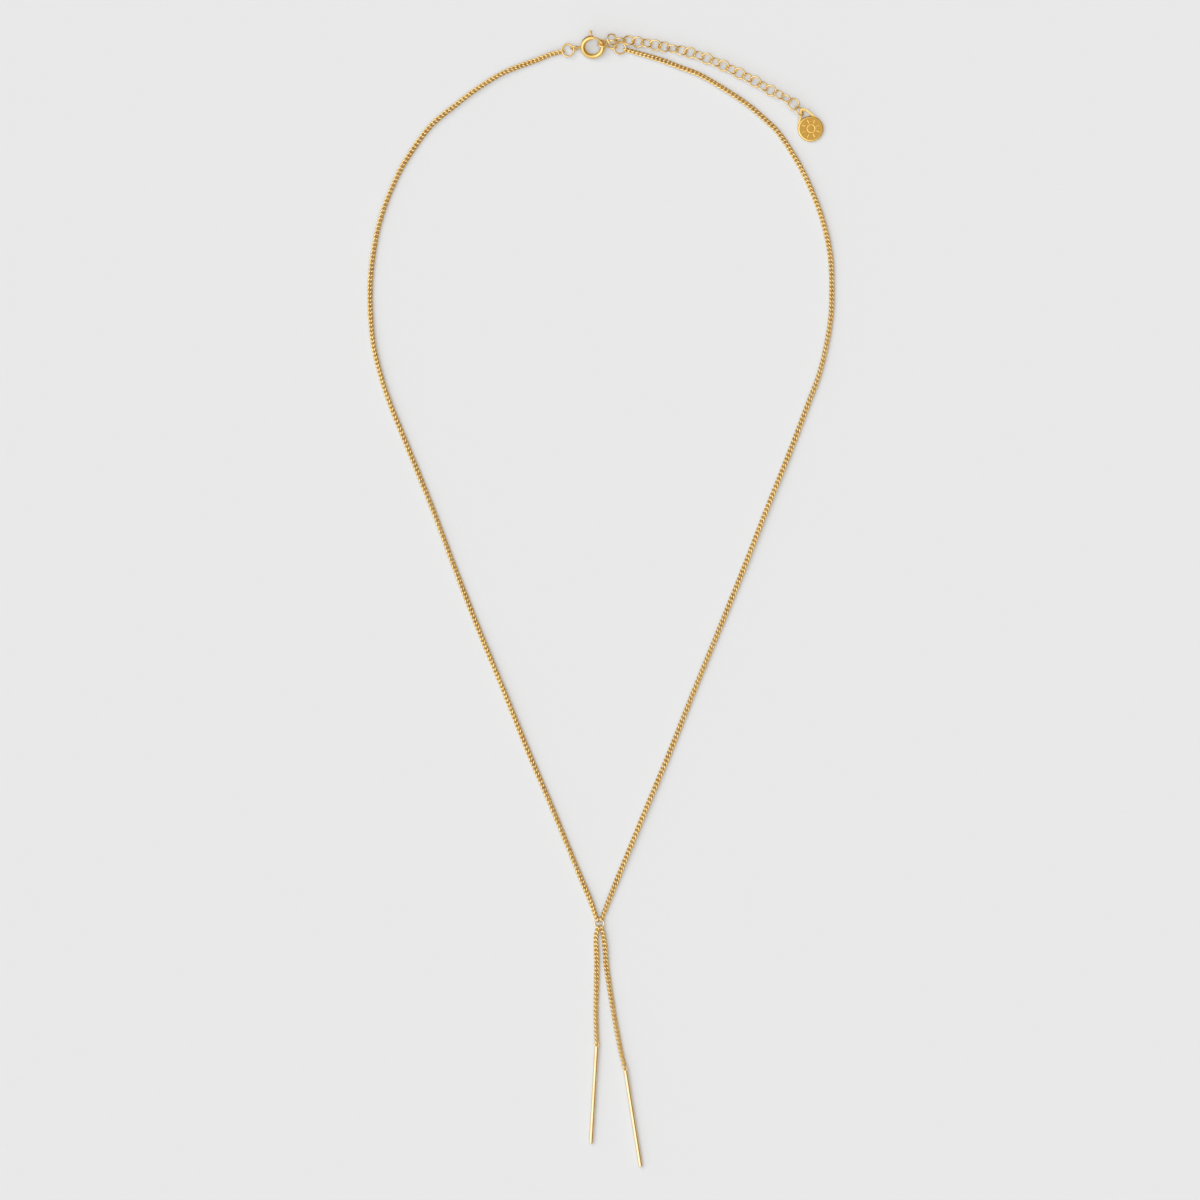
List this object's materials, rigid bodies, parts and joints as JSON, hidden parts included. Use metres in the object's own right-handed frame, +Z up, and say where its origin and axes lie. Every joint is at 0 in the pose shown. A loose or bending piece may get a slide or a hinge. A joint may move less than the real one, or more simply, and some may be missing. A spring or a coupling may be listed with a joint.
{
  "type": "y necklace",
  "caption": "Fine y necklace lying flat: a loop of curb chain closed by a spring ring clasp, a tagged extender, and two short strands that end in straight bars.",
  "frame": {"origin": "middle of the necklace's outline on the surface that it lies on", "axes": "+X to the right and +Y towards the clasp as seen from above, +Z up from the surface"},
  "size_m": [0.1122, 0.2726, 0.0036],
  "materials": {
    "chain_gold": "polished gold plate",
    "ring_gold": "polished gold plate",
    "pale_gold": "polished pale gold plate",
    "clasp_gold": "polished gold plate",
    "tag_gold": "satin gold plate",
    "bar_gold": "polished gold plate"
  },
  "bodies": {
    "necklace": {"chain_left": "chain_gold", "chain_right": "chain_gold", "end_ring_left": "ring_gold", "clasp_body": "clasp_gold", "catch_ring": "ring_gold", "junction_ring": "ring_gold", "end_ring_right": "ring_gold", "extender_link_01": "ring_gold", "extender_link_02": "ring_gold", "extender_link_03": "ring_gold", "extender_link_04": "ring_gold", "extender_link_05": "ring_gold", "extender_link_06": "ring_gold", "extender_link_07": "ring_gold", "extender_link_08": "ring_gold", "extender_link_09": "ring_gold", "extender_link_10": "ring_gold", "extender_link_11": "ring_gold", "extender_link_12": "ring_gold", "extender_link_13": "ring_gold", "extender_link_14": "ring_gold", "extender_link_15": "ring_gold", "extender_link_16": "ring_gold", "extender_link_17": "ring_gold", "extender_link_18": "ring_gold", "extender_link_19": "ring_gold", "extender_link_20": "ring_gold", "extender_link_21": "ring_gold", "extender_link_22": "ring_gold", "extender_link_23": "ring_gold", "extender_link_24": "ring_gold", "end_tag": "tag_gold", "y_ring": "pale_gold", "drop_chain_left": "chain_gold", "drop_chain_right": "chain_gold", "bar_left": "bar_gold", "bar_right": "bar_gold"},
    "bolt": {"clasp_bolt": "clasp_gold"}
  },
  "joints": [
    {"name": "bolt_turn", "type": "hinge", "parent": "necklace", "child": "bolt", "pos_m": [-0.00195, 0.13237, 0.00165], "axis": [0, -0.4067, 0.9135], "range_deg": [0, 50], "stiffness_Nm_per_rad": 0.003, "springref_deg": -17.19}
  ]
}
